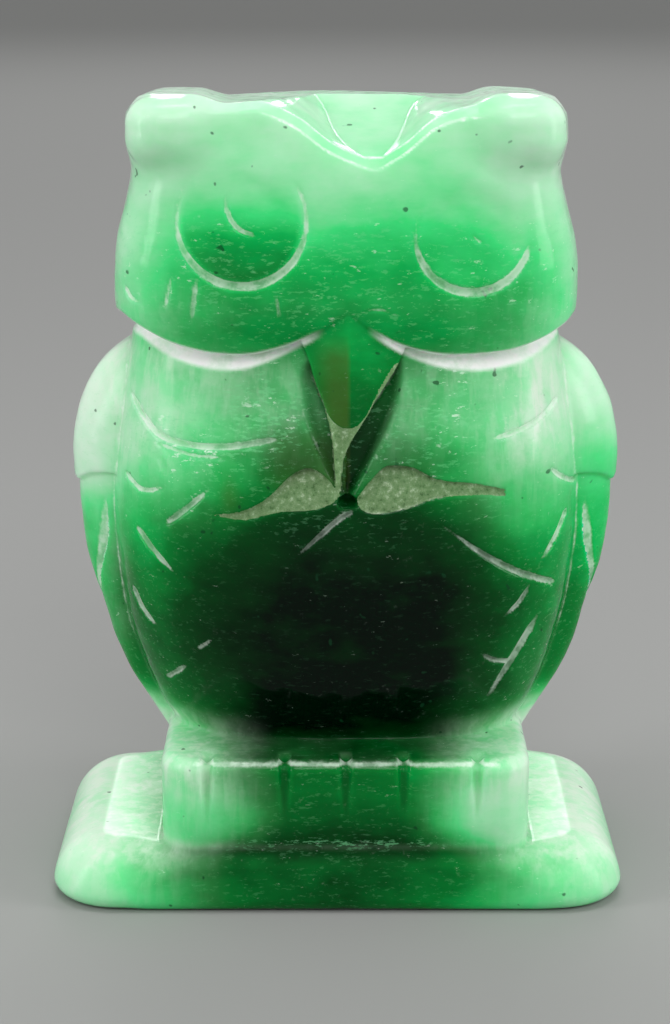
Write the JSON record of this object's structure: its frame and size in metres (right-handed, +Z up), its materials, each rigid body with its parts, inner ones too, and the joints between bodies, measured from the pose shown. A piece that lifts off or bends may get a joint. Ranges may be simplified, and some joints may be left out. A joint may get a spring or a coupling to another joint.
{
  "type": "owl figurine",
  "caption": "Small owl figurine carved from one block of polished translucent stone, standing on a flat rounded plinth.",
  "frame": {"origin": "on the table, under the middle of the plinth", "axes": "+Z up to the ear tips, -Y the way the owl faces, +X the owl's own left"},
  "size_m": [0.036, 0.021, 0.05],
  "materials": {
    "green_stone": "polished, translucent, paler where it is thin"
  },
  "bodies": {
    "root": {"plinth": "green_stone", "pedestal": "green_stone", "left_foot": "green_stone", "right_foot": "green_stone", "torso": "green_stone", "left_wing": "green_stone", "right_wing": "green_stone", "tail": "green_stone", "head": "green_stone", "left_ear": "green_stone", "right_ear": "green_stone", "beak": "green_stone"}
  },
  "joints": []
}
